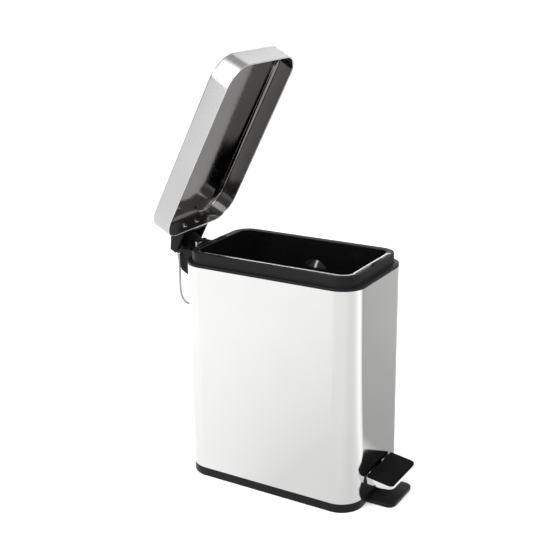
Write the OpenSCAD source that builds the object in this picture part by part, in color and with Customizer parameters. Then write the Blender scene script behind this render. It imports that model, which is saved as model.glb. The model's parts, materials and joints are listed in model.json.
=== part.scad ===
// Slim rectangular pedal bin: steel sleeve, plastic base and top ring, lift-out
// bucket, hinged steel lid, and a pedal that raises the lid through a push rod.
// Origin: centre of the body on the floor. +X right, -Y to the pedal, +Z up.
// The lid is drawn open and the pedal pressed down.

/* [Body] */
// Width of the body, along X
body_w = 135; // [120:1:170]
// Length of the body from pedal wall to hinge wall, along Y
body_l = 226; // [200:1:280]
// Radius of the body's upright corners
corner_r = 27.5; // [22:0.5:34]
// Height of the sleeve's top edge above the floor
shell_top = 265; // [220:1:320]
// Thickness of the steel sleeve
shell_t = 0.6; // [0.4:0.1:1]

/* [Base] */
// Height of the base ring's outer wall above the floor
base_h = 11; // [9:0.5:13]
// Thickness of the base ring's wall
base_wall = 5; // [4:0.5:7]
// Thickness of the base ring's inner flange
base_flange_t = 4; // [3:0.1:5]
// Width of the inner flange that carries the floor plate
base_flange_w = 13; // [12:0.5:16]
// Height of the lip that holds the sleeve from inside
base_lip_h = 7; // [4:0.5:7]
// Thickness of locating lips and skirts
lip_t = 2; // [1.5:0.1:2.5]
// Thickness of the steel floor plate
floor_t = 1; // [0.8:0.1:1.2]
// Inset of the floor screws from the ring's wall
screw_in = 5; // [4.5:0.5:7]
// Distance of the floor screws from the end walls
screw_end = 42; // [30:1:50]

/* [Tongue] */
// Width of the anti-tip tongue under the pedal
tongue_w = 57; // [40:1:60]
// Reach of the tongue in front of the body
tongue_out = 33; // [25:1:45]
// Thickness of the tongue
tongue_t = 5; // [4:0.5:8]
// Radius of the tongue's corners
tongue_r = 9; // [4:0.5:14]

/* [Top ring] */
// Thickness of the ledge that covers the sleeve's edge
ledge_t = 3; // [2:0.5:3.5]
// Height of the collar above the sleeve's edge
collar_h = 15; // [12:0.5:17]
// Step from the body's face in to the collar
collar_in = 5.7; // [4:0.1:8]
// Thickness of the collar at its top
collar_t = 2.2; // [1.5:0.1:3]
// Width of the step on which the bucket's rim hangs
seat_w = 2.2; // [1.6:0.1:3]
// Depth of that step below the collar's top
seat_drop = 4; // [3:0.5:6]
// Depth of the skirt inside the sleeve
skirt_h = 8; // [5:0.5:8]
// Width of the grip tab on the collar
tab_w = 21; // [10:1:40]
// Height of the grip tab
tab_h = 3; // [1:0.5:4]

/* [Bucket] */
// Wall thickness of the bucket
bucket_t = 1.6; // [1.2:0.1:2]
// Overhang of the bucket's rim on the long sides
rim_side = 4.9; // [4.5:0.1:6]
// Overhang of the bucket's rim on the ends
rim_end = 4.3; // [4:0.1:6]
// Thickness of the bucket's rim
rim_t = 4.2; // [2:0.1:5]
// Height of the bucket's underside above the floor
bucket_z = 44; // [42:1:70]
// Radius of the round bosses pressed into the long walls
dish_r = 20; // [12:1:26]
// Depth of a boss
dish_d = 6; // [3:0.5:7]
// Height of a boss's centre below the rim
dish_drop = 46; // [30:1:70]

/* [Lid] */
// Overhang of the lid past the body's long sides
lid_side = 0.6; // [0.4:0.1:3]
// Overhang of the lid past the body's end walls
lid_end = 2.25; // [2:0.05:4]
// Radius of the lid's corners beyond the body's
lid_corner = 1.5; // [0:0.1:3]
// Height of the lid's skirt
lid_h = 25; // [18:0.5:35]
// Thickness of the lid's sheet
lid_t = 0.8; // [0.5:0.1:1.2]
// Height of the closed lid's rim above the sleeve's edge
rim_gap = 5; // [4.5:0.1:7]
// Angle of the open lid as drawn
lid_open = 62.4; // [40:0.1:75]

/* [Hinge] */
// Distance of the hinge axis behind the body
hinge_back = 27.2; // [24:0.1:34]
// Depth of the hinge axis below the sleeve's top edge
hinge_drop = 0.5; // [0:0.1:1]
// Diameter of the hinge pin
pin_d = 4; // [3:0.1:5]
// Radius of the rounded ears around the pin
ear_r = 4.7; // [4.2:0.1:5]
// Width of the hinge housing and of the lid bracket
hinge_w = 50.4; // [40:0.2:70]
// Wall thickness of the housing and the bracket
hinge_t = 2.6; // [2:0.1:3]
// Height of the housing below the sleeve's top edge
housing_h = 37; // [34:1:45]
// Thickness of the lid bracket's ears
lid_ear_t = 2.8; // [2:0.1:3.5]
// Half distance between the insides of the lid bracket's ears
lid_ear_x = 18.2; // [15:0.1:18.4]
// Thickness of the housing's two pin lugs
lug_t = 3; // [2:0.1:4]
// Half distance between the insides of the pin lugs
lug_x = 7; // [6:0.1:8]
// Height of the rivets above the lid's rim
rivet_z = 10; // [7:0.5:14]
// Distance between the two rivets
rivet_gap = 25; // [16:1:32]
// Diameter of a rivet's shank
rivet_d = 4; // [3:0.1:5]

/* [Pedal] */
// Width of the rubber pad
pad_w = 65; // [50:1:80]
// Depth of the rubber pad, front to back
pad_l = 32.7; // [24:0.1:40]
// Thickness of the rubber pad
pad_t = 2.6; // [2:0.1:4]
// Gap from the body to the pad's back edge as drawn
pad_gap = 1.7; // [1.7:0.1:8]
// Height of the pad's back edge as drawn
pad_z = 37.9; // [36:0.1:39]
// Forward slope of the pad as drawn
pad_slope = 8.7; // [4:0.1:12]
// Radius of the pad's front corners
pad_r = 6; // [3:0.5:10]
// Thickness of the steel tray
tray_t = 1.2; // [0.8:0.1:1.6]
// Edge of the tray that shows around the pad
tray_edge = 0.7; // [0.4:0.1:1.5]
// Depth of the tray's flange at the back
flange_back = 8; // [5:0.5:9]
// Depth of the tray's flange at the front
flange_front = 3; // [2:0.5:5]
// Width of the pedal arm
arm_w = 18; // [14:1:24]
// Thickness of the arm's top web
arm_t = 2; // [1.5:0.1:2.5]
// Thickness of the arm's side flanges
arm_side_t = 1.5; // [1.2:0.1:2]
// Distance of the axle in front of the body's centre
axle_y = 35; // [20:1:50]
// Height of the arm's middle line above the floor
arm_z = 20; // [19.5:0.5:22]
// Height of the axle above that line
axle_up = 14; // [12:0.5:15]
// Diameter of the axle
axle_d = 5; // [4:0.5:6]

/* [Push rod] */
// Diameter of the rod's pins
rod_d = 3; // [2.5:0.1:3.5]
// Width of the rod's strip
rod_w = 5; // [4:0.5:5]
// Thickness of the rod's strip
rod_t = 2; // [1.5:0.1:2.5]
// Gap between the rod's centre line and the sleeve
rod_in = 8.4; // [8:0.1:10]
// Gap between the arm's side and the rod's strip
rod_gap = 1.5; // [1:0.1:2]
// Distance from the hinge axis at which the rod drives the lid
drive_in = 16.6; // [16:0.1:17]
// Rise of the rod's jog through the wall
jog_rise = 11; // [9:0.5:12]

/* [Carry bail] */
// Diameter of the bail's wire
bail_d = 2.8; // [2:0.1:4]
// Gap between the housing and the bail's legs
bail_gap = 1.6; // [0.8:0.1:3]
// Length of the bail's straight legs
bail_leg = 40.5; // [25:0.5:60]
// Radius of the bends at the bail's ends
bail_bend = 2.8; // [2.8:0.1:5]

/* [Fasteners] */
// Diameter of the screws' shanks
screw_d = 3; // [2.5:0.1:4]
// Diameter of the screws' heads
head_d = 5.6; // [5:0.1:8]
// Height of the screws' heads
head_h = 1.8; // [1.2:0.1:3]
// Thickness of a retaining clip
clip_t = 0.8; // [0.5:0.1:1]
// Width of a retaining clip's ring
clip_w = 1.8; // [1:0.1:2.5]

/* [Fits] */
// Radial clearance of a pin or shaft that turns
run_fit = 0.05; // [0.02:0.01:0.1]
// Radial clearance of a pin or rivet that stays put
set_fit = 0.02; // [0.01:0.01:0.1]
// Gap between nested pieces
nest_gap = 0.2; // [0.1:0.05:0.4]
// Gap between the bucket's rim and the collar
rim_fit = 0.3; // [0.2:0.05:0.6]

/* [Hidden] */
$fn = 64;

steel_c = [0.80, 0.80, 0.79];
bright_c = [0.88, 0.88, 0.87];
black_c = [0.09, 0.09, 0.10];
rubber_c = [0.05, 0.05, 0.06];
zinc_c = [0.62, 0.63, 0.65];

eps = 0.01;                                   // overshoot of a cut
front_y = -body_l/2;
rear_y = body_l/2;
collar_top = shell_top + collar_h;
ledge_top = shell_top + ledge_t;
seat_z = collar_top - seat_drop;
seat_in = collar_in + collar_t + seat_w;      // inset of the ring's inner face
lip_in = shell_t + nest_gap;                  // inset of lips inside the sleeve
floor_top = base_flange_t + floor_t;

hinge_y = rear_y + hinge_back;
hinge_z = shell_top - hinge_drop;
lid_rim_z = shell_top + rim_gap;
lid_w = body_w + 2*lid_side;
lid_l = body_l + 2*lid_end;
lid_r = corner_r + lid_corner;
lid_back = lid_l/2;

tread_at = [0, front_y - pad_gap, pad_z];       // pad's back edge, the tread's own origin
tray_top = -pad_t;
tray_under = -pad_t - tray_t;

rod_y = rear_y - shell_t - rod_in;
rear_arm = rod_y + axle_y;
half_stroke = 0.975*drive_in*tan(lid_open/2); // the ear's slot takes up the small error
rod_x = max(arm_w/2 + rod_gap, lug_x + lug_t + 0.5) + rod_w/2;
axle_z = arm_z + axle_up;
pin_drop = axle_up - half_stroke;             // the rod's low pin below the axle, as drawn
pin_turn = atan(pin_drop/rear_arm);
pedal_swing = atan((pin_drop + 2*half_stroke)/rear_arm) - pin_turn;   // pressed to raised
arm_bend_y = front_y - 1.5;
arm_bend_z = arm_z + 7;
rod_low_z = arm_z + half_stroke;
rod_top_z = hinge_z + half_stroke;
rod_top_y = hinge_y - drive_in;
slot_far = sqrt(pow(drive_in, 2) + pow(half_stroke, 2));
jog_top = hinge_z - 7;
jog_low = jog_top - jog_rise;

bail_x = hinge_w/2 + bail_gap + bail_d/2;

// ---- Outlines and helpers ----

// Rounded rectangle of w by l with corner radius r, exact arcs
module outline(w, l, r) {
    square([w - 2*r, l], center = true);
    square([w, l - 2*r], center = true);
    for (x = [-1, 1], y = [-1, 1])
        translate([x*(w/2 - r), y*(l/2 - r)]) circle(r);
}

// Slab with the body's outline moved in by inset, from z0 to z1
module body_slab(inset, z0, z1) {
    translate([0, 0, z0])
        linear_extrude(z1 - z0)
            outline(body_w - 2*inset, body_l - 2*inset, corner_r - inset);
}

// Wall that follows the body's outline, t thick
module body_wall(inset, t, z0, z1) {
    difference() {
        body_slab(inset, z0, z1);
        body_slab(inset + t, z0 - eps, z1 + eps);
    }
}

// Side profile given as [y, z] points, extruded along X from x0 to x1
module side_plate(x0, x1) {
    translate([x0, 0, 0])
        rotate([90, 0, 90])
            linear_extrude(x1 - x0) children();
}

// The same plate on both sides of the middle
module side_pair(x0, x1) {
    side_plate(x0, x1) children();
    side_plate(-x1, -x0) children();
}

// Cylinder along X, centred on [y, z]
module bar_x(d, x0, x1, y, z) {
    translate([x0, y, z])
        rotate([0, 90, 0]) cylinder(d = d, h = x1 - x0);
}

// Arc of wire in the XY plane: mean radius r, from one angle over a sweep
module wire_arc(d, r, from, sweep) {
    rotate([0, 0, from])
        rotate_extrude(angle = sweep) translate([r, 0]) circle(d = d);
}

// Turns the closed lid about the hinge to the open place
module lid_place() {
    translate([0, hinge_y, hinge_z])
        rotate([-lid_open, 0, 0])
            translate([0, -hinge_y, -hinge_z]) children();
}

// Puts the tread's own flat frame in place
module tread_place() {
    translate(tread_at) rotate([pad_slope, 0, 0]) children();
}

// ---- Base ----

axle_lug_in = arm_w/2 + 0.6;                  // half distance between the axle's lugs
axle_lug_t = 1.5;
axle_lug_r = 7;
screw_short = 0.9;                            // how far a floor screw stops above the floor

function floor_screw_at() = [for (x = [-1, 1], y = [-1, 1])
    [x*(body_w/2 - base_wall - screw_in), y*(body_l/2 - screw_end)]];

// Plastic ring on the floor, with the lip for the sleeve and the tongue
module base_ring() {
    color(black_c)
    difference() {
        union() {
            body_slab(0, 0, base_h);
            body_slab(lip_in, base_h - 1, base_h + base_lip_h);
            translate([0, front_y + tongue_in, 0])
                linear_extrude(tongue_t) tongue_outline();
        }
        body_slab(base_wall, base_flange_t, base_h);
        body_slab(lip_in + lip_t, base_h - eps, base_h + base_lip_h + 1);
        body_slab(base_wall + base_flange_w, -1, base_flange_t + 1);
        for (p = floor_screw_at())
            translate([p[0], p[1], -1]) cylinder(d = screw_d + 2*set_fit, h = 8);
    }
}

tongue_in = 10;                               // how far the tongue runs under the ring

// Plan of the tongue, from under the ring to its front edge
module tongue_outline() {
    reach = tongue_out + tongue_in;
    translate([-tongue_w/2, tongue_r - reach]) square([tongue_w, reach - tongue_r]);
    translate([tongue_r - tongue_w/2, -reach]) square([tongue_w - 2*tongue_r, reach]);
    for (s = [-1, 1])
        translate([s*(tongue_w/2 - tongue_r), tongue_r - reach]) circle(tongue_r);
}

// Steel pan on the base ring's flange, with two folded lugs for the axle
module floor_plate() {
    color(zinc_c)
    difference() {
        union() {
            body_slab(base_wall + nest_gap, base_flange_t, floor_top);
            side_pair(axle_lug_in, axle_lug_in + axle_lug_t) {
                translate([-axle_y - axle_lug_r, base_flange_t])
                    square([2*axle_lug_r, axle_z - base_flange_t]);
                translate([-axle_y, axle_z]) circle(axle_lug_r);
            }
        }
        bar_x(axle_d + 2*set_fit, -body_w/4, body_w/4, -axle_y, axle_z);
        for (p = floor_screw_at())
            translate([p[0], p[1], 0]) cylinder(d = screw_d + 2*set_fit, h = 20);
    }
}

module floor_screws() {
    color(zinc_c)
    for (p = floor_screw_at())
        translate([p[0], p[1], 0]) {
            translate([0, 0, screw_short]) cylinder(d = screw_d, h = floor_top - screw_short);
            translate([0, 0, floor_top]) cylinder(d = head_d, h = head_h);
        }
}

// ---- Sleeve and top ring ----

window_w = rod_w + 1.4;
jog_slope = jog_rise/(rod_top_y - rod_y);
window_low = jog_low + jog_slope*(rear_y - shell_t - rod_y) - 2*half_stroke - rod_t;
window_top = jog_low + jog_slope*(rear_y + hinge_t - rod_y) + rod_t + 0.4;
slot_w = arm_w + 3;
slot_low = base_h + base_lip_h + 1;
slot_top = arm_bend_z + (-arm_bend_y - axle_y)*sin(pedal_swing) + 1;

// Folded steel sleeve, with the pedal's slot and the rod's window
module body_shell() {
    color(steel_c)
    difference() {
        body_wall(0, shell_t, base_h, shell_top);
        translate([-slot_w/2, front_y - 1, slot_low])
            cube([slot_w, 4, slot_top - slot_low]);
        translate([-rod_x - window_w/2, rear_y - 3, window_low])
            cube([window_w, 4, window_top - window_low]);
        for (x = housing_screw_x())
            translate([x, rear_y + 1, housing_screw_z]) rotate([90, 0, 0])
                cylinder(d = screw_d + 2*set_fit, h = 4);
    }
}

// Plastic ring over the sleeve's edge: ledge, collar, bucket seat and skirt
module top_ring() {
    color(black_c) {
        difference() {
            union() {
                body_slab(0, shell_top, ledge_top);
                body_slab(collar_in, shell_top, collar_top);
                body_wall(lip_in, lip_t, shell_top - skirt_h, shell_top + 1);
                body_slab(seat_in - 2, shell_top - skirt_h + 1, shell_top + 1);
            }
            body_slab(seat_in, shell_top - skirt_h - 1, collar_top + 1);
            body_slab(collar_in + collar_t, seat_z, collar_top + 1);
        }
        translate([-tab_w/2, front_y + collar_in, collar_top - 1])
            cube([tab_w, collar_t, tab_h + 1]);
    }
}

// ---- Bucket ----

bucket_w = body_w - 2*(collar_in + collar_t + rim_fit + rim_side);
bucket_l = body_l - 2*(collar_in + collar_t + rim_fit + rim_end);
bucket_r = corner_r - collar_in - collar_t - rim_fit - rim_end;
rim_low = seat_z + nest_gap;
rim_top = rim_low + rim_t;
dish_z = rim_top - dish_drop;
dish_ball = (pow(dish_r, 2) + pow(dish_d, 2))/(2*dish_d);

// Balls that press a boss into each long wall from outside
module boss_balls(grow) {
    for (a = [0, 180])
        rotate([0, 0, a])
            translate([bucket_w/2 - dish_d + dish_ball, 0, dish_z])
                sphere(r = dish_ball + grow, $fn = 96);
}

module inner_bucket() {
    color(rubber_c)
    difference() {
        union() {
            translate([0, 0, bucket_z])
                linear_extrude(rim_top - bucket_z) outline(bucket_w, bucket_l, bucket_r);
            body_slab(collar_in + collar_t + rim_fit, rim_low, rim_top);
        }
        difference() {
            translate([0, 0, bucket_z + bucket_t])
                linear_extrude(rim_top)
                    outline(bucket_w - 2*bucket_t, bucket_l - 2*bucket_t, bucket_r - bucket_t);
            boss_balls(bucket_t);
        }
        boss_balls(0);
    }
}

// ---- Hinge ----

housing_screw_z = shell_top - housing_h + 8;
function housing_screw_x() = [-(hinge_w/2 - 6.4), hinge_w/2 - 6.4];
plate_y = rear_y + hinge_t;                   // outer face of the housing's back plate

// Side of a housing cheek: level top, round behind the pin, tapered foot
module cheek_profile() {
    polygon([[rear_y, shell_top - housing_h], [rear_y, hinge_z + ear_r],
             [hinge_y, hinge_z + ear_r], [hinge_y + ear_r, hinge_z],
             [hinge_y + ear_r, hinge_z - 7.5], [hinge_y - 0.7, shell_top - 22]]);
    translate([hinge_y, hinge_z]) circle(ear_r);
}

// Lug profile: the cheek without the room that the rod's hook sweeps
module lug_profile() {
    difference() {
        cheek_profile();
        translate([rear_y + hinge_t, hinge_z - half_stroke - rod_d/2 - 1.5])
            square([hinge_back - hinge_t - ear_r, 2*half_stroke + 20]);
    }
}

// Plastic housing on the body's rear wall, with cheeks and pin lugs
module hinge_housing() {
    color(black_c)
    difference() {
        union() {
            side_pair(hinge_w/2 - hinge_t, hinge_w/2) cheek_profile();
            side_pair(lug_x, lug_x + lug_t) lug_profile();
            side_plate(-hinge_w/2, hinge_w/2)
                polygon([[rear_y, shell_top - housing_h], [rear_y, hinge_z + ear_r],
                         [plate_y, hinge_z + ear_r], [plate_y, shell_top - housing_h + 1.5]]);
            side_plate(-hinge_w/2, hinge_w/2)
                polygon([[hinge_y + ear_r, hinge_z - 7.5], [hinge_y + ear_r - 2.2, hinge_z - 7.5],
                         [hinge_y - 2.6, shell_top - 21.2], [hinge_y - 0.7, shell_top - 22]]);
        }
        bar_x(pin_d + 2*set_fit, -lug_x - lug_t - 1, lug_x + lug_t + 1, hinge_y, hinge_z);
        bar_x(bail_d + 2*run_fit, -hinge_w/2 - 1, hinge_w/2 + 1, hinge_y, hinge_z);
        translate([-rod_x - window_w/2, rear_y - 1, window_low])
            cube([window_w, hinge_t + 2, window_top - window_low]);
        for (x = housing_screw_x())
            translate([x, plate_y + 1, housing_screw_z]) rotate([90, 0, 0])
                cylinder(d = screw_d + 2*set_fit, h = hinge_t + 2);
    }
}

nut_t = 2.2;

module housing_screws() {
    color(zinc_c)
    for (x = housing_screw_x())
        translate([x, plate_y, housing_screw_z]) rotate([90, 0, 0]) {
            cylinder(d = screw_d, h = hinge_t + shell_t + nut_t + 0.8);
            translate([0, 0, -head_h]) cylinder(d = head_d, h = head_h);
        }
}

module housing_nuts() {
    color(zinc_c)
    for (x = housing_screw_x())
        translate([x, rear_y - shell_t, housing_screw_z]) rotate([90, 0, 0])
            difference() {
                cylinder(d = 6.2, h = nut_t, $fn = 6);
                translate([0, 0, -1]) cylinder(d = screw_d + 2*set_fit, h = nut_t + 2);
            }
}

pin_half = lid_ear_x + lid_ear_t + clip_t + 0.3;

module hinge_pin() {
    color(bright_c) bar_x(pin_d, -pin_half, pin_half, hinge_y, hinge_z);
}

module pin_clips() {
    color(zinc_c)
    for (s = [-1, 1])
        translate([s*(lid_ear_x + lid_ear_t + 0.15 + clip_t/2), hinge_y, hinge_z])
            rotate([0, 90, 0])
                difference() {
                    cylinder(d = pin_d + 2*clip_w, h = clip_t, center = true);
                    cylinder(d = pin_d + 2*set_fit, h = 2, center = true);
                }
}

// ---- Lid ----

// Deep-drawn steel lid with its rivet holes
module lid_shell() {
    color(steel_c)
    lid_place()
        difference() {
            translate([0, 0, lid_rim_z]) linear_extrude(lid_h) outline(lid_w, lid_l, lid_r);
            translate([0, 0, lid_rim_z - 1])
                linear_extrude(lid_h - lid_t + 1)
                    outline(lid_w - 2*lid_t, lid_l - 2*lid_t, lid_r - lid_t);
            rivet_holes();
        }
}

module rivet_holes() {
    for (s = [-1, 1])
        translate([s*rivet_gap/2, lid_back + 6, lid_rim_z + rivet_z]) rotate([90, 0, 0])
            cylinder(d = rivet_d + 2*set_fit, h = 12);
}

bracket_low = lid_rim_z + 0.3;
bracket_top = lid_rim_z + 20.5;
bracket_end = hinge_y + 5;

// Side of the lid bracket: sloping roof from the skirt to behind the pin
module roof_profile(inset) {
    polygon([[lid_back, bracket_low], [lid_back, bracket_top - inset],
             [bracket_end - inset, lid_rim_z + 8.7 - inset*0.6], [bracket_end - inset, bracket_low]]);
}

// Slotted ear that the rod's hook drives
module drive_profile() {
    translate([hinge_y, hinge_z]) rotate(180 + lid_open/2) {
        translate([0, -ear_r + 0.7]) square([slot_far, 2*ear_r - 1.4]);
        translate([slot_far, 0]) circle(ear_r - 0.7);
    }
    polygon([[hinge_y - slot_far*0.8, hinge_z - 8], [hinge_y - slot_far - 1.5, hinge_z + 12],
             [hinge_y - slot_far - 1.5, bracket_top - 4], [hinge_y, bracket_top - 10],
             [hinge_y + 2, hinge_z]]);
}

drive_slot_w = rod_d + 1.1;

module drive_slot() {
    translate([hinge_y, hinge_z]) rotate(180 + lid_open/2) {
        for (r = [drive_in, slot_far]) translate([r, 0]) circle(d = drive_slot_w);
        translate([drive_in, -drive_slot_w/2]) square([slot_far - drive_in, drive_slot_w]);
    }
}

// Plastic bracket riveted to the lid's rear skirt
module lid_bracket() {
    half = hinge_w/2;
    color(black_c)
    lid_place()
        difference() {
            union() {
                side_plate(-half, half)
                    difference() {
                        roof_profile(0);
                        translate([0, -eps]) roof_profile(hinge_t);
                    }
                side_pair(half - hinge_t, half) roof_profile(0);
                side_plate(-half, half)
                    polygon([[lid_back, bracket_low], [lid_back, bracket_top - 1],
                             [lid_back + hinge_t, bracket_top - 2],
                             [lid_back + hinge_t, bracket_low]]);
                side_pair(lid_ear_x, lid_ear_x + lid_ear_t) {
                    translate([hinge_y, hinge_z]) circle(ear_r);
                    polygon([[hinge_y - ear_r, hinge_z], [hinge_y - ear_r - 4, lid_rim_z + 11],
                             [hinge_y + 3, lid_rim_z + 8], [hinge_y + ear_r, hinge_z]]);
                }
                side_plate(-3, 3) drive_profile();
            }
            bar_x(pin_d + 2*run_fit, -half - 1, half + 1, hinge_y, hinge_z);
            side_plate(-4, 4) drive_slot();
            rivet_holes();
        }
}

module lid_rivets() {
    color(bright_c)
    lid_place()
        for (s = [-1, 1])
            translate([s*rivet_gap/2, lid_back + hinge_t, lid_rim_z + rivet_z])
                rotate([90, 0, 0]) {
                    cylinder(d = rivet_d, h = hinge_t + lid_t);
                    translate([0, 0, -1.2]) cylinder(d = rivet_d + 3, h = 1.2);
                    translate([0, 0, hinge_t + lid_t]) cylinder(d = rivet_d + 2.5, h = 1);
                }
}

// ---- Carry bail ----

// Arc of wire in the XY plane: mean radius r, from one angle over a sweep
module wire_arc(d, r, from, sweep) {
    rotate([0, 0, from])
        rotate_extrude(angle = sweep) translate([r, 0]) circle(d = d);
}

// Wire loop that hangs behind the body, its ends in the housing's cheeks
module carry_bail() {
    arc_z = hinge_z - bail_bend - bail_leg;
    color(bright_c)
    for (s = [0, 1]) mirror([s, 0, 0]) {
        bar_x(bail_d, hinge_w/2 - hinge_t + 0.3, bail_x - bail_bend, hinge_y, hinge_z);
        translate([bail_x - bail_bend, hinge_y, hinge_z - bail_bend])
            rotate([90, 0, 0]) wire_arc(bail_d, bail_bend, 0, 90);
        translate([bail_x, hinge_y, arc_z]) cylinder(d = bail_d, h = bail_leg);
        translate([0, hinge_y, arc_z])
            rotate([-90, 0, 0]) wire_arc(bail_d, bail_x, 0, 90);
    }
}

// ---- Pedal ----

// Height of the arm's top web at y, on the straight run behind the bend
function web_z(y) = arm_z + 4 + (y + axle_y)*(half_stroke + 1)/rear_arm;
arm_end_y = rod_y + 5;

// Side outline of the arm's web: under the tray, down the bend, straight run
module web_profile() {
    under = tray_under/cos(pad_slope);
    top_at = function(y) pad_z + (y - tread_at[1])*tan(pad_slope) + under;
    y1 = arm_bend_y - 8.5;
    y0 = y1 - 18;
    y2 = y1 + 0.6;
    sheet = arm_t/cos(pad_slope);
    polygon([[y0, top_at(y0)], [y1, top_at(y1)], [arm_bend_y + 1.2, arm_bend_z],
             [-axle_y, arm_z + 4], [arm_end_y, web_z(arm_end_y)],
             [arm_end_y, web_z(arm_end_y) - arm_t], [-axle_y, arm_z + 4 - arm_t],
             [arm_bend_y, arm_bend_z - arm_t], [y2, top_at(y2) - sheet],
             [y0, top_at(y0) - sheet]]);
}

// Side outline of the arm's flanges, deep round the axle and the rod's hook
module flange_profile() {
    y0 = front_y + 14;
    ear = axle_d/2 + 3;
    polygon([[y0, arm_z + 6.0], [y0, arm_z + 2.4], [-axle_y - 7, arm_z - 5],
             [-axle_y + 7, arm_z - 5], [rod_y - 30, rod_low_z - 4.6],
             [arm_end_y, rod_low_z - 4.2], [arm_end_y, web_z(arm_end_y)],
             [-axle_y, arm_z + 4]]);
    polygon([[-axle_y - 12, arm_z + 2], [-axle_y - ear, axle_z], [-axle_y + ear, axle_z],
             [-axle_y + 12, arm_z + 2]]);
    translate([-axle_y, axle_z]) circle(ear);
}

// The rod's pin stays in line while the arm turns, so its hole is an oval
pin_slot_w = rod_d + 0.3;
pin_near = rear_arm/cos(pin_turn) - 0.15;
pin_far = rear_arm/cos(pin_turn + pedal_swing) + 0.15;

module pedal_arm() {
    color(zinc_c)
    difference() {
        union() {
            side_plate(-arm_w/2, arm_w/2) web_profile();
            side_pair(arm_w/2 - arm_side_t, arm_w/2) flange_profile();
        }
        bar_x(axle_d + 2*run_fit, -arm_w, arm_w, -axle_y, axle_z);
        side_plate(-arm_w, arm_w)
            translate([-axle_y, axle_z]) rotate(-pin_turn) {
                for (r = [pin_near, pin_far]) translate([r, 0]) circle(d = pin_slot_w);
                translate([pin_near, -pin_slot_w/2]) square([pin_far - pin_near, pin_slot_w]);
            }
        tray_rivet_cut(set_fit);
    }
}

tray_w = pad_w + 2*tray_edge;
tray_l = pad_l + tray_edge;

// Tread outline: square at the back, round at the front corners
module tread_outline(w, l, r) {
    translate([-w/2, r - l]) square([w, l - r]);
    translate([r - w/2, -l]) square([w - 2*r, l]);
    for (s = [-1, 1]) translate([s*(w/2 - r), r - l]) circle(r);
}

// Pressed steel tray: flat plate with a flange that gets shallow at the front
module pedal_tray() {
    r = pad_r + tray_edge;
    color(bright_c)
    tread_place()
        difference() {
            intersection() {
                translate([0, 0, tray_top - 20]) linear_extrude(20) tread_outline(tray_w, tray_l, r);
                side_plate(-tray_w, tray_w)
                    polygon([[0, tray_top], [-2.5, tray_top - flange_back],
                             [-tray_l*0.55, tray_top - flange_back*0.85],
                             [-tray_l, tray_top - flange_front], [-tray_l, tray_top]]);
            }
            translate([0, 1, tray_under - 20])
                linear_extrude(20)
                    tread_outline(tray_w - 2*tray_t, tray_l - tray_t + 1, r - tray_t);
            tray_rivet_shafts(set_fit);
        }
}

function tray_rivet_y() = [-13.5, -22.5];

// Straight shafts of the tray's rivets, in the tread's own frame
module tray_rivet_shafts(grow) {
    for (y = tray_rivet_y())
        translate([0, y, tray_under - arm_t - 3])
            cylinder(r = rivet_d/2 + grow, h = arm_t + tray_t + 3);
}

module tray_rivet_cut(grow) {
    tread_place() tray_rivet_shafts(grow);
}

module tray_rivets() {
    color(zinc_c)
    tread_place()
        for (y = tray_rivet_y()) translate([0, y, 0]) {
            translate([0, 0, tray_under - arm_t]) cylinder(d = rivet_d, h = arm_t + tray_t);
            translate([0, 0, tray_under - arm_t - 1.5]) cylinder(d = rivet_d + 3, h = 1.5);
        }
}

module pedal_pad() {
    color(rubber_c)
    tread_place()
        translate([0, 0, -pad_t]) linear_extrude(pad_t) tread_outline(pad_w, pad_l, pad_r);
}

axle_half = axle_lug_in + axle_lug_t + clip_t + 0.6;

module pedal_axle() {
    color(bright_c) bar_x(axle_d, -axle_half, axle_half, -axle_y, axle_z);
}

module axle_clips() {
    color(zinc_c)
    for (s = [-1, 1])
        translate([s*(axle_half - 0.3 - clip_t/2), -axle_y, axle_z])
            rotate([0, 90, 0])
                difference() {
                    cylinder(d = axle_d + 2*clip_w, h = clip_t, center = true);
                    cylinder(d = axle_d + 2*set_fit, h = 2, center = true);
                }
}

// ---- Push rod ----

hook_end = arm_w/2 + 3.5;

// Side of the rod's strip: upright, jog through the rear wall, upright
module rod_profile() {
    h = rod_t/2;
    turn = 90 - atan(jog_slope);
    m = h*tan(turn/2);
    polygon([[rod_y - h, rod_low_z - rod_d], [rod_y - h, jog_low + m],
             [rod_top_y - h, jog_top + m], [rod_top_y - h, rod_top_z + rod_d],
             [rod_top_y + h, rod_top_z + rod_d], [rod_top_y + h, jog_top - m],
             [rod_y + h, jog_low - m], [rod_y + h, rod_low_z - rod_d]]);
}

// Steel strip with two fixed pins: one in the arm, one in the lid's drive ear
module push_rod() {
    color(zinc_c) {
        side_plate(-rod_x - rod_w/2, -rod_x + rod_w/2) rod_profile();
        bar_x(rod_d, -rod_x, hook_end, rod_y, rod_low_z);
        bar_x(rod_d, -rod_x, 6, rod_top_y, rod_top_z);
    }
}

module rod_clip() {
    color(zinc_c)
    translate([hook_end - 0.4 - clip_t, rod_y, rod_low_z]) rotate([0, 90, 0])
        difference() {
            cylinder(d = rod_d + 2*clip_w, h = clip_t);
            translate([0, 0, -1]) cylinder(d = rod_d + 2*set_fit, h = 3);
        }
}

base_ring();
floor_plate();
floor_screws();
body_shell();
top_ring();
inner_bucket();
hinge_housing();
housing_screws();
housing_nuts();
hinge_pin();
pin_clips();
lid_shell();
lid_bracket();
lid_rivets();
carry_bail();
pedal_axle();
axle_clips();
pedal_arm();
pedal_tray();
tray_rivets();
pedal_pad();
push_rod();
rod_clip();
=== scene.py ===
# %% [markdown]
# # A slim pedal bin
# This lesson builds the looks of a small steel pedal bin round its finished CAD model. The CAD
# pieces come in first and never move. Each visible piece is then modelled again with softer
# edges, takes its place from the CAD piece's own box, and rides on the same body.

# %% Load the CAD model
import json
import math

import bmesh
import bpy
from mathutils import Matrix, Vector


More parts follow.
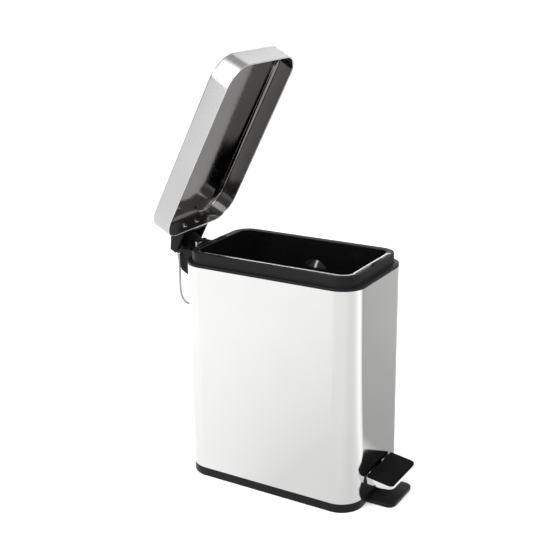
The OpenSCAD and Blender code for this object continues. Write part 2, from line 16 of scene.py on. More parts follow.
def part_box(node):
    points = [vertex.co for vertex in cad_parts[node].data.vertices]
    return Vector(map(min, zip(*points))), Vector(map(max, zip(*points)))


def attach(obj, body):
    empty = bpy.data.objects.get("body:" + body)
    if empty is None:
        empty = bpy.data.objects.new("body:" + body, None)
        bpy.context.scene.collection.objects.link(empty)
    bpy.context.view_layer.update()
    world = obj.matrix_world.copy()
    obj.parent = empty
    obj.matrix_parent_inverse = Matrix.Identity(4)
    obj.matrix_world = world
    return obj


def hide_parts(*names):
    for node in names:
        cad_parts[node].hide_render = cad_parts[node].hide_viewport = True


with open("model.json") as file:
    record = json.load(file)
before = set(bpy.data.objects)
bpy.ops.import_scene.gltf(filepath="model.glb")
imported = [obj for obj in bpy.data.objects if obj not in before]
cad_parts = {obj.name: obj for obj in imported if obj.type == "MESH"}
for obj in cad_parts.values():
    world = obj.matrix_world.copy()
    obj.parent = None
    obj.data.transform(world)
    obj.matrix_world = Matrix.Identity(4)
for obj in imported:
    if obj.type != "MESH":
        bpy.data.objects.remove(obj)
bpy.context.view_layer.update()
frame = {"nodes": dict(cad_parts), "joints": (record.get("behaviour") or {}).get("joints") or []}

MM = 0.001
nodes = frame["nodes"]

# %% [markdown]
# ## Working by hand, in code
# Blender's operators act on whatever is selected. So every step first clears the selection, makes
# one piece active, and picks its faces or edges by where they are. These helpers say that once.

# %% Selecting one piece and parts of it
def only(piece):
    bpy.ops.object.select_all(action="DESELECT")
    bpy.context.view_layer.objects.active = piece
    piece.select_set(True)


def start_edit(piece, kind="FACE"):
    only(piece)
    bpy.ops.object.mode_set(mode="EDIT")
    bpy.ops.mesh.select_mode(type=kind)
    bpy.ops.mesh.select_all(action="DESELECT")


def end_edit():
    bpy.ops.object.mode_set(mode="OBJECT")


def pick_faces(piece, test):
    bpy.ops.mesh.select_all(action="DESELECT")
    mesh = bmesh.from_edit_mesh(piece.data)
    for face in mesh.faces:
        if test(face.calc_center_median(), face.normal):
            face.select_set(True)
    bmesh.update_edit_mesh(piece.data)


def pick_edges(piece, test):
    bpy.ops.mesh.select_all(action="DESELECT")
    mesh = bmesh.from_edit_mesh(piece.data)
    for edge in mesh.edges:
        if test(edge.verts[0].co, edge.verts[1].co):
            edge.select_set(True)
    bmesh.update_edit_mesh(piece.data)


def pick_open_edges(piece):
    """Edges with a face on one side only: the rims of a hole."""
    bpy.ops.mesh.select_mode(type="EDGE")
    bpy.ops.mesh.select_all(action="DESELECT")
    mesh = bmesh.from_edit_mesh(piece.data)
    for edge in mesh.edges:
        edge.select_set(edge.is_boundary)
    bmesh.update_edit_mesh(piece.data)


def near(a, b, slack=0.02 * MM):
    return abs(a - b) < slack

# %% [markdown]
# ## Rounded blocks
# Nearly all of the bin is a rounded rectangle seen from above. A cube is stretched to size and its
# four upright edges are bevelled with many steps. The steps are small enough that a polished wall
# reflects without facets.

# %% A block with round upright corners
def rounded_block(name, low, high, radius, steps=28):
    """Cube from low to high, in mm, with its four upright edges rounded."""
    low, high = Vector(low) * MM, Vector(high) * MM
    bpy.ops.object.select_all(action="DESELECT")
    bpy.ops.mesh.primitive_cube_add(size=1, location=(low + high) / 2, scale=high - low)
    block = bpy.context.object
    block.name = block.data.name = name
    bpy.ops.object.transform_apply(location=True, rotation=True, scale=True)
    start_edit(block, "EDGE")
    pick_edges(block, lambda a, b: near(a.x, b.x) and near(a.y, b.y))
    bpy.ops.mesh.bevel(offset=radius * MM, segments=steps, affect="EDGES")
    end_edit()
    return block


def body_block(name, inset, z0, z1, steps=28):
    """Rounded block with the bin's own outline, moved in by inset."""
    w, l = BODY_W / 2 - inset, BODY_L / 2 - inset
    return rounded_block(name, (-w, -l, z0), (w, l, z1), CORNER - inset, steps)


def pick_cap(block, z, up=True):
    pick_faces(block, lambda c, n: near(c.z, z * MM) and (n.z > 0.9 if up else n.z < -0.9))


def step_in(inward, rise=0.0):
    """Moves the picked cap's edge inwards, then pushes the cap along Z."""
    if inward:
        bpy.ops.mesh.inset(thickness=inward * MM, depth=0)
    if rise:
        bpy.ops.mesh.extrude_region_move(TRANSFORM_OT_translate={"value": (0, 0, rise * MM)})

# %% Modifiers that finish a piece
def apply_modifier(piece, kind, **settings):
    only(piece)
    mod = piece.modifiers.new(kind.lower(), kind)
    for name, value in settings.items():
        setattr(mod, name, value)
    bpy.ops.object.modifier_apply(modifier=mod.name)


def soften(piece, width, steps=3, angle=35):
    """Rounds the sharp edges and shades the rest smoothly."""
    apply_modifier(piece, "BEVEL", width=width * MM, segments=steps, limit_method="ANGLE",
                   angle_limit=math.radians(angle), use_clamp_overlap=True)
    only(piece)
    bpy.ops.object.shade_smooth_by_angle(angle=math.radians(angle))


def carve(piece, cutter, operation="DIFFERENCE"):
    apply_modifier(piece, "BOOLEAN", object=cutter, operation=operation, solver="EXACT")
    bpy.data.objects.remove(cutter)


def join(main, *others):
    only(main)
    for piece in others:
        piece.select_set(True)
    bpy.ops.object.join()


def copy_of(node, name):
    """A merged copy of a CAD node, its flat triangles joined into whole faces."""
    bpy.ops.object.select_all(action="DESELECT")
    piece = nodes[node].copy()
    piece.data = nodes[node].data.copy()
    piece.parent = None
    for key in list(piece.keys()):
        del piece[key]
    piece.name = piece.data.name = name
    bpy.context.scene.collection.objects.link(piece)
    piece.data.materials.clear()
    start_edit(piece, "VERT")
    bpy.ops.mesh.select_all(action="SELECT")
    bpy.ops.mesh.remove_doubles(threshold=0.001 * MM)
    bpy.ops.mesh.dissolve_limited(angle_limit=math.radians(0.5))
    end_edit()
    if piece.data.has_custom_normals:
        bpy.ops.mesh.customdata_custom_splitnormals_clear()
    return piece


def finish_piece(piece, body, slot, *stands_for):
    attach(piece, body)
    if stands_for:
        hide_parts(*stands_for)
    print(f"{piece.name}: {len(piece.data.polygons)} faces on {body}")

# %% [markdown]
# ## Sizes
# Sizes that the pieces share come from the CAD pieces' boxes, so that the looks follow the CAD.

# %% Read the shared sizes
def box_mm(node):
    low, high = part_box(node)
    return low / MM, high / MM


shell_low, shell_high = box_mm("body_shell")
COLLAR_TOP = box_mm("top_ring")[1].z
bucket_low, bucket_high = box_mm("inner_bucket")
BODY_W, BODY_L = shell_high.x - shell_low.x, shell_high.y - shell_low.y
BASE_TOP, SHELL_TOP = shell_low.z, shell_high.z
FRONT_Y, REAR_Y = -BODY_L / 2, BODY_L / 2
CORNER = 27.5
SHEET, LEDGE_T, COLLAR_IN = 0.6, 3, 5.7
hinge = next(j for j in frame["joints"] if j["name"] == "lid_hinge")
HINGE_Y, HINGE_Z = hinge["pos_m"][1] / MM, hinge["pos_m"][2] / MM
LID_OPEN = math.radians(-hinge["range_deg"][0])
print("body", BODY_W, BODY_L, "shell", BASE_TOP, SHELL_TOP, "hinge", HINGE_Y, HINGE_Z)

# %% [markdown]
# ## Shared surface effects
# A node group is a small machine that several materials use. *grain* is fine noise, stretched one
# way for rolled or brushed metal and even for moulded plastic. It gives a roughness that wanders
# between two values and a normal with a slight tooth. *smudge* is a wide, faint mask for handling
# marks that dull a gloss.

# %% The grain group
def new_group(name, inputs, outputs):
    group = bpy.data.node_groups.new(name, "ShaderNodeTree")
    for label, kind, value in inputs:
        socket = group.interface.new_socket(label, in_out="INPUT", socket_type=kind)
        if value is not None:
            socket.default_value = value
    for label, kind in outputs:
        group.interface.new_socket(label, in_out="OUTPUT", socket_type=kind)
    return group, group.nodes.new("NodeGroupInput"), group.nodes.new("NodeGroupOutput")


def link(tree, source, out, target, into):
    tree.links.new(source.outputs[out], target.inputs[into])


grain, g_in, g_out = new_group(
    "grain",
    [("Stretch", "NodeSocketVector", (1, 1, 1)), ("Scale", "NodeSocketFloat", 900.0),
     ("Smooth", "NodeSocketFloat", 0.2), ("Rough", "NodeSocketFloat", 0.3),
     ("Tooth", "NodeSocketFloat", 0.05)],
    [("Roughness", "NodeSocketFloat"), ("Normal", "NodeSocketVector")])
coords = grain.nodes.new("ShaderNodeTexCoord")
stretch = grain.nodes.new("ShaderNodeVectorMath")
stretch.operation = "MULTIPLY"
noise = grain.nodes.new("ShaderNodeTexNoise")
noise.inputs["Detail"].default_value = 3
spread = grain.nodes.new("ShaderNodeMapRange")
spread.inputs["From Min"].default_value = 0.3
spread.inputs["From Max"].default_value = 0.7
bump = grain.nodes.new("ShaderNodeBump")
bump.inputs["Distance"].default_value = 0.0002
link(grain, coords, "Object", stretch, 0)
link(grain, g_in, "Stretch", stretch, 1)
link(grain, stretch, 0, noise, "Vector")
link(grain, g_in, "Scale", noise, "Scale")
link(grain, noise, "Fac", spread, "Value")
link(grain, g_in, "Smooth", spread, "To Min")
link(grain, g_in, "Rough", spread, "To Max")
link(grain, noise, "Fac", bump, "Height")
link(grain, g_in, "Tooth", bump, "Strength")
link(grain, spread, "Result", g_out, "Roughness")
link(grain, bump, "Normal", g_out, "Normal")

# %% The smudge group
smudge, s_in, s_out = new_group(
    "smudge",
    [("Clean", "NodeSocketColor", (0.5, 0.5, 0.5, 1)),
     ("Dull", "NodeSocketColor", (0.4, 0.4, 0.4, 1)),
     ("Scale", "NodeSocketFloat", 9.0)],
    [("Color", "NodeSocketColor")])
coords = smudge.nodes.new("ShaderNodeTexCoord")
cloud = smudge.nodes.new("ShaderNodeTexNoise")
cloud.inputs["Detail"].default_value = 4
cloud.inputs["Roughness"].default_value = 0.6
soft = smudge.nodes.new("ShaderNodeMapRange")
soft.inputs["From Min"].default_value = 0.45
soft.inputs["From Max"].default_value = 0.8
mix = smudge.nodes.new("ShaderNodeMix")
mix.data_type = "RGBA"
link(smudge, coords, "Object", cloud, "Vector")
link(smudge, s_in, "Scale", cloud, "Scale")
link(smudge, cloud, "Fac", soft, "Value")
link(smudge, soft, "Result", mix, "Factor")
link(smudge, s_in, "Clean", mix, 6)
link(smudge, s_in, "Dull", mix, 7)
link(smudge, mix, 2, s_out, "Color")

# %% [markdown]
# ## Finishes
# Every finish is one Principled shader fed by the two groups. Metals keep Metallic at 1 and get
# their look from colour, roughness and the direction of the grain. Plastics and rubber keep it at
# 0 and differ mostly in gloss.

# %% Build a finish
def finish(name, color, dull, smooth, rough, *, metallic=0.0, stretch=(1, 1, 1), scale=900.0,
           tooth=0.05, specular=0.5, cloud=9.0):
    material = bpy.data.materials.new(name)
    material.use_nodes = True
    tree = material.node_tree
    shader = tree.nodes["Principled BSDF"]
    shader.inputs["Metallic"].default_value = metallic
    shader.inputs["Specular IOR Level"].default_value = specular
    fine = tree.nodes.new("ShaderNodeGroup")
    fine.node_tree = grain
    for label, value in (("Stretch", stretch), ("Scale", scale), ("Smooth", smooth),
                         ("Rough", rough), ("Tooth", tooth)):
        fine.inputs[label].default_value = value
    marks = tree.nodes.new("ShaderNodeGroup")
    marks.node_tree = smudge
    marks.inputs["Clean"].default_value = (*color, 1)
    marks.inputs["Dull"].default_value = (*dull, 1)
    marks.inputs["Scale"].default_value = cloud
    link(tree, fine, "Roughness", shader, "Roughness")
    link(tree, fine, "Normal", shader, "Normal")
    link(tree, marks, "Color", shader, "Base Color")
    return material


sleeve_steel = finish("sleeve_steel", (0.725, 0.722, 0.715), (0.70, 0.697, 0.69), 0.085, 0.13,
                      metallic=1, stretch=(1, 1, 0.02), scale=700, tooth=0.004)
lid_satin = finish("lid_satin", (0.50, 0.50, 0.50), (0.46, 0.46, 0.46), 0.24, 0.32,
                   metallic=1, stretch=(0.03, 1, 1), scale=1600, tooth=0.02)
# The lid's own sheet on its inside: a smoother grain, and a darker colour that is painted shade for
# the hollow
lid_inside_painted_shade = finish("lid_inside_painted_shade", (0.23, 0.222, 0.218), (0.19, 0.185, 0.18), 0.08, 0.14,
                    metallic=1, stretch=(0.3, 1, 1), scale=500, tooth=0.01)
bright_steel = finish("bright_steel", (0.86, 0.86, 0.85), (0.80, 0.80, 0.79), 0.07, 0.14,
                      metallic=1, scale=600, tooth=0.01)
zinc_steel = finish("zinc_steel", (0.56, 0.57, 0.59), (0.47, 0.48, 0.50), 0.25, 0.42,
                    metallic=1, scale=350, tooth=0.05, cloud=60)
black_plastic = finish("black_plastic", (0.007, 0.007, 0.0073), (0.009, 0.009, 0.0094), 0.34, 0.44,
                       scale=1400, tooth=0.06, specular=0.14, cloud=20)
bucket_plastic = finish("bucket_plastic", (0.004, 0.004, 0.0042), (0.005, 0.005, 0.005), 0.09, 0.13,
                        scale=500, tooth=0.004, specular=0.45, cloud=14)
tread_rubber = finish("tread_rubber", (0.004, 0.004, 0.0044), (0.006, 0.006, 0.0064), 0.55, 0.70,
                      scale=1100, tooth=0.22, specular=0.04, cloud=40)
wire_steel = finish("wire_steel", (0.42, 0.42, 0.42), (0.34, 0.34, 0.34), 0.14, 0.24,
                    metallic=1, scale=600, tooth=0.01)
print("finishes:", len(bpy.data.materials))


def paint(piece, *materials):
    piece.data.materials.clear()
    for material in materials:
        piece.data.materials.append(material)

# %% [markdown]
# ## The steel sleeve
# The real sleeve is one sheet bent round and seamed. A block's caps are deleted, and Solidify
# gives the wall its 0.6 mm, inwards. The slot for the pedal's arm and the window for the push rod
# are cut with small blocks, because a cutter keeps the wall's long smooth faces whole.

# %% Sleeve
sleeve = body_block("steel_sleeve", 0, BASE_TOP, SHELL_TOP, steps=40)
start_edit(sleeve)
pick_faces(sleeve, lambda c, n: abs(n.z) > 0.9)
bpy.ops.mesh.delete(type="FACE")
end_edit()
apply_modifier(sleeve, "SOLIDIFY", thickness=SHEET * MM, offset=-1, use_even_offset=True)
# Left and right edge, lower and upper edge, and the wall that each opening is in
SLOT = (-10.5, 10.5, 19, 39.05, FRONT_Y)
WINDOW = (-16.2, -9.8, 229.6, 255.4, REAR_Y)
for left, right, lower, upper, wall in (SLOT, WINDOW):
    carve(sleeve, rounded_block("cutter", (left, wall - 2, lower), (right, wall + 2, upper), 0.4, 2))
only(sleeve)
bpy.ops.object.shade_smooth_by_angle(angle=math.radians(30))
paint(sleeve, sleeve_steel)
finish_piece(sleeve, "bin_body", "polished_steel", "body_shell")

# %% [markdown]
# ## The base ring
# A moulded ring with a low wall outside, a lip that centres the sleeve, and a flange inside for the
# steel pan. It is drawn as its own cross-section: from the block's top, each inset or push of the
# cap is one corner of that section. A tongue runs out under the pedal so that the bin can't tip.

# %% Base ring and tongue
LIP_IN, LIP_T, LIP_H = 0.85, 2, 7
RING_WALL, FLANGE_W = 5, 13
base = body_block("base_foot", 0, 0, BASE_TOP)
start_edit(base)
pick_cap(base, BASE_TOP)
for inward, rise in ((LIP_IN, LIP_H), (LIP_T, -LIP_H), (RING_WALL - LIP_T - LIP_IN, -7),
                     (FLANGE_W, -1)):
    step_in(inward, rise)
bpy.ops.mesh.delete(type="FACE")
pick_cap(base, 0, up=False)
step_in(RING_WALL + FLANGE_W)
bpy.ops.mesh.delete(type="FACE")
pick_open_edges(base)
bpy.ops.mesh.bridge_edge_loops()
end_edit()
soften(base, 0.7)

TONGUE_W, TONGUE_OUT, TONGUE_T, TONGUE_R = 57, 33, 5, 9
tongue = rounded_block("tongue", (-TONGUE_W / 2, FRONT_Y - TONGUE_OUT, 0),
                       (TONGUE_W / 2, FRONT_Y + 10, TONGUE_T), TONGUE_R, 12)
soften(tongue, 1.1, 4)
join(base, tongue)
paint(base, black_plastic)
finish_piece(base, "bin_body", "black_plastic", "base_ring")

# %% [markdown]
# ## The top ring
# Its ledge hides the sleeve's cut edge, its collar stands up inside the lid, and a step inside the
# collar carries the bucket. A skirt below holds it in the sleeve. The section is walked from both
# caps until the two meet, then the doubled edge is merged.

# %% Top ring and grip tab
ring = body_block("top_collar", 0, SHELL_TOP, SHELL_TOP + LEDGE_T)
start_edit(ring)
pick_cap(ring, SHELL_TOP + LEDGE_T)
for inward, rise in ((COLLAR_IN, 12), (2.2, -4), (2.2, -18)):
    step_in(inward, rise)
bpy.ops.mesh.delete(type="FACE")
pick_cap(ring, SHELL_TOP, up=False)
for inward, rise in ((0.85, -8), (1.95, 1), (7.3, 0)):
    step_in(inward, rise)
bpy.ops.mesh.delete(type="FACE")
bpy.ops.mesh.select_all(action="SELECT")
bpy.ops.mesh.remove_doubles(threshold=0.01 * MM)
end_edit()
soften(ring, 0.6)
TAB_W, tab_y = 21, FRONT_Y + COLLAR_IN
tab = rounded_block("tab", (-TAB_W / 2, tab_y + 0.05, SHELL_TOP + 13),
                    (TAB_W / 2, tab_y + 2.15, COLLAR_TOP), 0.6, 3)
soften(tab, 0.5)
join(ring, tab)
paint(ring, black_plastic)
finish_piece(ring, "bin_body", "black_plastic", "top_ring")

# %% [markdown]
# ## The bucket
# A glossy moulded bucket hangs by its rim on the ring's step. The rim is the widest part, so the
# block starts as the rim: its lower cap is pushed down as the outside, and its upper cap as the
# inside. The rim falls a little inwards, so that drips run back into the bucket. Two round bosses
# are pressed in from outside in the long walls: a large ball less a slightly smaller one.

# %% Bucket
RIM_IN, RIM_OVER, RIM_FALL, WALL = 8.2, 4.6, 0.5, 1.6
bucket = body_block("bucket", RIM_IN, bucket_high.z - 4.2, bucket_high.z)
start_edit(bucket)
pick_cap(bucket, bucket_high.z - 4.2, up=False)
step_in(RIM_OVER, bucket_low.z - (bucket_high.z - 4.2))
pick_cap(bucket, bucket_high.z)
step_in(0.5)
bpy.ops.mesh.inset(thickness=(RIM_OVER + WALL - 0.5) * MM, depth=-RIM_FALL * MM)
step_in(0, bucket_low.z + WALL - bucket_high.z + RIM_FALL)
end_edit()
BOSS_R, BOSS_DEEP = 20, 6
BALL = (BOSS_R ** 2 + BOSS_DEEP ** 2) / (2 * BOSS_DEEP)


def ball(name, x, z, radius):
    bpy.ops.object.select_all(action="DESELECT")
    bpy.ops.mesh.primitive_uv_sphere_add(segments=96, ring_count=48, radius=radius * MM,
                                         location=(x * MM, 0, z * MM), rotation=(0, math.pi / 2, 0))
    made = bpy.context.object
    made.name = name
    bpy.ops.object.transform_apply(location=True, rotation=True, scale=True)
    return made


boss_z = bucket_high.z - 46
wall_x = BODY_W / 2 - RIM_IN - RIM_OVER
for side in (-1, 1):
    centre = side * (wall_x - BOSS_DEEP + BALL)
    dome = ball("dome", centre, boss_z, BALL + WALL)
    ends = sorted((side * 20, side * (wall_x - WALL / 2)))
    keep = rounded_block("keep", (ends[0], -30, boss_z - 30), (ends[1], 30, boss_z + 30), 1, 2)
    carve(dome, keep, "INTERSECT")
    carve(bucket, dome, "UNION")
    carve(bucket, ball("hollow", centre, boss_z, BALL))
soften(bucket, 0.9, 4, angle=30)
paint(bucket, bucket_plastic)
finish_piece(bucket, "bin_body", "bucket_plastic", "inner_bucket")

# %% [markdown]
# ## The lid
# A deep tray drawn from one sheet: a crisp edge outside, a softer one inside, and a rolled bead
# round its rim. It is modelled closed, where it is level and easy to size, then turned about the
# hinge to the open place and applied, so that its own origin stays at the scene's origin.

# %% Lid shell
LID_SIDE, LID_END, LID_H, LID_T = 0.6, 2.25, 25, 0.8
RIM_Z = SHELL_TOP + 5
INNER_ROUND, TOP_ROUND = 6, 2.2
BEAD_H, BEAD_T, BEAD_LAP = 1.8, 1.7, 0.6
lid_x, lid_y, LID_R = BODY_W / 2 + LID_SIDE, BODY_L / 2 + LID_END, CORNER + 1.5


def lid_block(name, inset, z0, z1):
    x, y = lid_x - inset, lid_y - inset
    return rounded_block(name, (-x, -y, z0), (x, y, z1), LID_R - inset, 36)


def pick_loop(piece, z):
    pick_edges(piece, lambda a, b: near(a.z, z * MM) and near(b.z, z * MM))


lid = lid_block("lid_tray", 0, RIM_Z + BEAD_LAP, RIM_Z + LID_H)
start_edit(lid)
pick_cap(lid, RIM_Z + BEAD_LAP, up=False)
step_in(LID_T, LID_H - BEAD_LAP - LID_T)
pick_loop(lid, RIM_Z + LID_H - LID_T)
bpy.ops.mesh.bevel(offset=INNER_ROUND * MM, segments=8, affect="EDGES")
pick_loop(lid, RIM_Z + LID_H)
bpy.ops.mesh.bevel(offset=TOP_ROUND * MM, segments=6, affect="EDGES")
end_edit()

bead = lid_block("bead", 0.04, RIM_Z, RIM_Z + BEAD_H)
start_edit(bead)
pick_cap(bead, RIM_Z + BEAD_H)
step_in(BEAD_T)
bpy.ops.mesh.delete(type="FACE")
pick_cap(bead, RIM_Z, up=False)
step_in(BEAD_T)
bpy.ops.mesh.delete(type="FACE")
pick_open_edges(bead)
bpy.ops.mesh.bridge_edge_loops()
end_edit()
soften(bead, 0.8, 4)

# %% Paint the lid and open it
def open_lid(piece):
    """Turns a piece drawn on the closed lid about the hinge to where the open lid is."""
    only(piece)
    bpy.context.scene.cursor.location = (0, HINGE_Y * MM, HINGE_Z * MM)
    bpy.ops.object.origin_set(type="ORIGIN_CURSOR")
    piece.rotation_euler.x = -LID_OPEN
    bpy.ops.object.transform_apply(location=True, rotation=True, scale=True)


paint(lid, lid_satin, lid_inside_painted_shade, bright_steel)
# Faces inside the lid take the darker copy of the lid steel: painted shade in the hollow
for face in lid.data.polygons:
    c, n = face.center, face.normal
    sideways = Vector((c.x * BODY_L / BODY_W, c.y, 0)).dot(Vector((n.x, n.y, 0)))
    if (abs(n.z) < 0.5 and sideways < 0) or (n.z < -0.05 and c.z > (RIM_Z + 10) * MM):
        face.material_index = 1
paint(bead, lid_satin, lid_inside_painted_shade, bright_steel)
for face in bead.data.polygons:
    face.material_index = 2
join(lid, bead)
only(lid)
bpy.ops.object.shade_smooth_by_angle(angle=math.radians(35))
open_lid(lid)
finish_piece(lid, "lid", "lid_steel", "lid_shell")

# %% Rivets through the lid's rear skirt
def pin(name, radius, y0, y1, edge, x=0.0, z=0.0, steps=32):
    """Round pin along Y with rounded ends, in mm."""
    bpy.ops.object.select_all(action="DESELECT")
    bpy.ops.mesh.primitive_cylinder_add(vertices=steps, radius=radius * MM, depth=(y1 - y0) * MM,
                                        location=(x * MM, (y0 + y1) / 2 * MM, z * MM),
                                        rotation=(math.pi / 2, 0, 0))
    made = bpy.context.object
    made.name = name
    bpy.ops.object.transform_apply(location=True, rotation=True, scale=True)
    soften(made, edge, 5)
    return made


rivets = []
for x in (-12.5, 12.5):
    z = RIM_Z + 10
    shank = pin("shank", 1.98, lid_y - 1.2, lid_y + 2.7, 0.1, x, z)
    inner = pin("inner_head", 3.25, lid_y - LID_T - 1.0, lid_y - LID_T - 0.02, 0.75, x, z)
    outer = pin("outer_head", 3.5, lid_y + 2.62, lid_y + 3.8, 0.9, x, z)
    join(inner, shank, outer)
    rivets.append(inner)
join(*rivets)
rivets[0].name = "skirt_rivets"
open_lid(rivets[0])
paint(rivets[0], bright_steel)
finish_piece(rivets[0], "lid", "bright_steel", "lid_rivets")

# %% [markdown]
# ## The hinge
# The housing on the wall and the bracket on the lid are ribbed mouldings with many small walls.
# Their CAD shapes are already right, so a merged copy of each gets rounded edges.

# %% Housing and lid bracket
for node, name, body in (("hinge_housing", "housing", "bin_body"), ("lid_bracket", "bracket", "lid")):
    moulding = copy_of(node, name)
    soften(moulding, 0.35, 2, angle=40)
    paint(moulding, black_plastic)
    finish_piece(moulding, body, "black_plastic", node)

# %% [markdown]
# ## The carry bail
# One length of bright wire: two stubs in the housing's cheeks, a bend, straight legs and a round
# bottom. A wire is best drawn as a path with a round section, then turned into a mesh.

# %% Bail wire
def wire(name, points, radius, steps=10):
    curve = bpy.data.curves.new(name, "CURVE")
    curve.dimensions = "3D"
    curve.bevel_depth = radius * MM
    curve.bevel_resolution = steps
    curve.use_fill_caps = True
    line = curve.splines.new("POLY")
    line.points.add(len(points) - 1)
    for point, place in zip(line.points, points):
        point.co = (*(Vector(place) * MM), 1)
    piece = bpy.data.objects.new(name, curve)
    bpy.context.scene.collection.objects.link(piece)
    only(piece)
    bpy.ops.object.convert(target="MESH")
    piece = bpy.context.object
    bpy.ops.object.shade_smooth_by_angle(angle=math.radians(50))
    return piece


bail_low, bail_high = box_mm("carry_bail")
BAIL_R = 1.4
leg_x = bail_high.x - BAIL_R
bend, stub_x = 2.8, 22.9
arc_z = bail_low.z + BAIL_R + leg_x
half = [(stub_x, HINGE_Y, HINGE_Z)]
for i in range(9):
    a = math.radians(90 - i * 11.25)
    half.append((leg_x - bend + bend * math.cos(a), HINGE_Y, HINGE_Z - bend + bend * math.sin(a)))
for i in range(19):
    a = math.radians(i * 5)
    half.append((leg_x * math.cos(a), HINGE_Y, arc_z - leg_x * math.sin(a)))
bail = wire("bail_wire", half + [(-x, y, z) for x, y, z in reversed(half[:-1])], BAIL_R)
paint(bail, wire_steel)
finish_piece(bail, "bail", "bright_steel", "carry_bail")

# %% [markdown]
# ## The pedal
# A pressed tray carries a thick rubber tread with a soft shoulder all round. Both are sloped, so
# they are copies of the CAD pieces: their places are exact, and only their edges change. The
# tray's steel back edge is painted black as painted shade, since it is seen only in the shaded gap
# between the tread and the sleeve.

# %% Tray and tread
tray = copy_of("pedal_tray", "tread_tray")
soften(tray, 0.25, 2)
paint(tray, bright_steel, black_plastic)
# Painted shade: the steel tray's back faces take black plastic
back_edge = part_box("pedal_tray")[1].y - 1.5 * MM
for face in tray.data.polygons:
    if face.center.y > back_edge:
        face.material_index = 1
finish_piece(tray, "pedal", "bright_steel", "pedal_tray")
tread = copy_of("pedal_pad", "tread")
soften(tread, 1.1, 5)
paint(tread, tread_rubber)
finish_piece(tread, "pedal", "black_rubber", "pedal_pad")

# %% [markdown]
# ## Pieces that stay as drawn
# The drive and the fasteners sit inside, where only their finish can show. Each CAD node keeps its
# mesh and takes a finish.

# %% Finishes of the kept CAD nodes
ZINC = ("floor_plate", "floor_screws", "housing_screws", "housing_nuts", "pin_clips", "axle_clips",
        "pedal_arm", "tray_rivets", "push_rod", "rod_clip")
for node in ZINC:
    paint(nodes[node], zinc_steel)
for node in ("hinge_pin", "pedal_axle"):
    paint(nodes[node], bright_steel)

# %% [markdown]
# ## Studio
# A wide pale floor and a white sky give soft light from all sides. Polished steel shows its
# surroundings more than itself, so glossy rays see the floor as a glowing painted reflection,
# graded round the bin: bright behind and in front, half-dark to the front right, as a dark card
# beside a product table would make it, and painted darker close to the bin as shade. The sky
# that they mirror is dimmer too, which keeps the black plastics black.

# %% Floor
bpy.ops.object.select_all(action="DESELECT")
bpy.ops.mesh.primitive_plane_add(size=40, location=(0, 0, 0))
floor = bpy.context.object
floor.name = "studio_floor"
floor_and_painted_reflection = bpy.data.materials.new("floor_and_painted_reflection")
floor_and_painted_reflection.use_nodes = True
tree = floor_and_painted_reflection.node_tree
shader = tree.nodes["Principled BSDF"]
shader.inputs["Base Color"].default_value = (0.97, 0.97, 0.97, 1)
shader.inputs["Roughness"].default_value = 0.9
shader.inputs["Specular IOR Level"].default_value = 0.1
# Glossy rays see a glowing painted reflection instead of the floor's own shading, graded by direction
# round the bin; other rays see the plain pale floor
spot = tree.nodes.new("ShaderNodeTexCoord")
around = tree.nodes.new("ShaderNodeTexGradient")
around.gradient_type = "RADIAL"
painted_reflection_ramp = tree.nodes.new("ShaderNodeValToRGB")
painted_reflection_glow = tree.nodes.new("ShaderNodeEmission")
reach = tree.nodes.new("ShaderNodeVectorMath")
reach.operation = "LENGTH"
# Painted shade in the reflected floor: its glow is weaker close to the bin
reflection_shade_near_bin = tree.nodes.new("ShaderNodeMapRange")
for label, value in (("From Min", 0.15), ("From Max", 0.60), ("To Min", 1.28), ("To Max", 1.45)):
    reflection_shade_near_bin.inputs[label].default_value = value
ray = tree.nodes.new("ShaderNodeLightPath")
choose = tree.nodes.new("ShaderNodeMixShader")
link(tree, spot, "Object", around, "Vector")
link(tree, around, "Fac", painted_reflection_ramp, "Fac")
link(tree, painted_reflection_ramp, "Color", painted_reflection_glow, "Color")
link(tree, spot, "Object", reach, 0)
link(tree, reach, "Value", reflection_shade_near_bin, "Value")
link(tree, reflection_shade_near_bin, "Result", painted_reflection_glow, "Strength")
link(tree, ray, "Is Glossy Ray", choose, "Fac")
link(tree, shader, "BSDF", choose, 1)
link(tree, painted_reflection_glow, "Emission", choose, 2)
link(tree, choose, "Shader", tree.nodes["Material Output"], "Surface")
# Direction on the floor, in degrees from +X towards +Y, and how bright the painted reflection is
# there
PAINTED_REFLECTION_ROUND = [(-180, 0.75), (-140, 0.74), (-115, 0.66), (-98, 0.72), (-78, 1.0), (-68, 0.90),
         (-58, 0.35), (-36, 0.38), (0, 0.55), (60, 0.90), (130, 0.97), (180, 0.75)]
stops = painted_reflection_ramp.color_ramp.elements
for angle, value in PAINTED_REFLECTION_ROUND[1:-1]:
    stops.new(angle / 360 + 0.5)
for stop, (angle, value) in zip(stops, PAINTED_REFLECTION_ROUND):
    stop.position = angle / 360 + 0.5
    stop.color = (value, value, value, 1)
floor.data.materials.append(floor_and_painted_reflection)

# %% Sky and lamps
scene = bpy.context.scene
scene.view_settings.view_transform = "Standard"
sky = bpy.data.worlds.new("studio_sky")
scene.world = sky
sky.use_nodes = True
tree = sky.node_tree
bright = tree.nodes["Background"]
bright.inputs["Color"].default_value = (1, 1, 1, 1)
bright.inputs["Strength"].default_value = 1.06
dim = tree.nodes.new("ShaderNodeBackground")
dim.inputs["Color"].default_value = (1, 1, 1, 1)
dim.inputs["Strength"].default_value = 0.50
ray = tree.nodes.new("ShaderNodeLightPath")
choose = tree.nodes.new("ShaderNodeMixShader")
link(tree, ray, "Is Glossy Ray", choose, "Fac")
link(tree, bright, "Background", choose, 1)
link(tree, dim, "Background", choose, 2)
link(tree, choose, "Shader", tree.nodes["World Output"], "Surface")


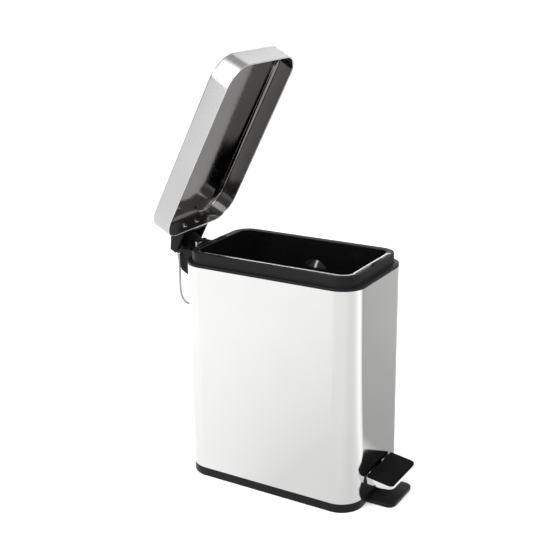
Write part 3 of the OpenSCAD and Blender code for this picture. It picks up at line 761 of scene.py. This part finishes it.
def softbox(name, place, aim, size, power):
    lamp = bpy.data.lights.new(name, "AREA")
    lamp.shape = "RECTANGLE"
    lamp.size, lamp.size_y = size
    lamp.energy = power
    holder = bpy.data.objects.new(name, lamp)
    scene.collection.objects.link(holder)
    holder.location = place
    holder.rotation_euler = (Vector(aim) - Vector(place)).to_track_quat("-Z", "Y").to_euler()
    return holder


# Two wide boxes for the light itself, then four for highlights: on the lid's end, on its corner,
# on the boss in the bucket, and along the bucket's near rim
softbox("key_softbox", (-1.2, -1.4, 2.0), (0, 0, 0.2), (1.2, 1.2), 14)
softbox("back_softbox", (-0.8, 1.8, 1.6), (0, 0, 0.3), (1.4, 0.8), 10)
softbox("end_softbox", (1.7, 0.1, 1.5), (0, 0, 0.4), (1.2, 1.2), 4)
softbox("top_softbox", (-0.8, -0.1, 2.2), (0, 0.1, 0.4), (1.6, 1.6), 16)
softbox("strip_softbox", (-1.65, 0.6, 1.05), (0.05, 0, 0.23), (0.25, 1.2), 14)
softbox("rim_softbox", (2.49, 1.52, 0.71), (-0.05, 0, 0.28), (1.4, 0.18), 3.4)

# %% [markdown]
# ## Camera
# A long lens from the left front, a little above the rim, aimed at the middle of the open bin.

# %% Camera
camera = bpy.data.objects.new("camera", bpy.data.cameras.new("camera"))
scene.collection.objects.link(camera)
scene.camera = camera
camera.data.lens = 66.15
camera.data.sensor_width = 36
AZIMUTH, ELEVATION, ROLL = (math.radians(a) for a in (-59.36, 18.17, -0.628))
FAR = 1211.3
target = Vector((8.7, 22.2, 238.5)) * MM
back = Vector((math.sin(AZIMUTH) * math.cos(ELEVATION), -math.cos(AZIMUTH) * math.cos(ELEVATION),
               math.sin(ELEVATION)))
camera.location = target + back * FAR * MM
camera.rotation_mode = "QUATERNION"
turn = (-back).to_track_quat("-Z", "Y").to_matrix().to_4x4()
camera.rotation_quaternion = (turn @ Matrix.Rotation(ROLL, 4, "Z")).to_quaternion()
camera.data.clip_start, camera.data.clip_end = 0.05, 60
print("camera mm", [round(c / MM, 1) for c in camera.location])
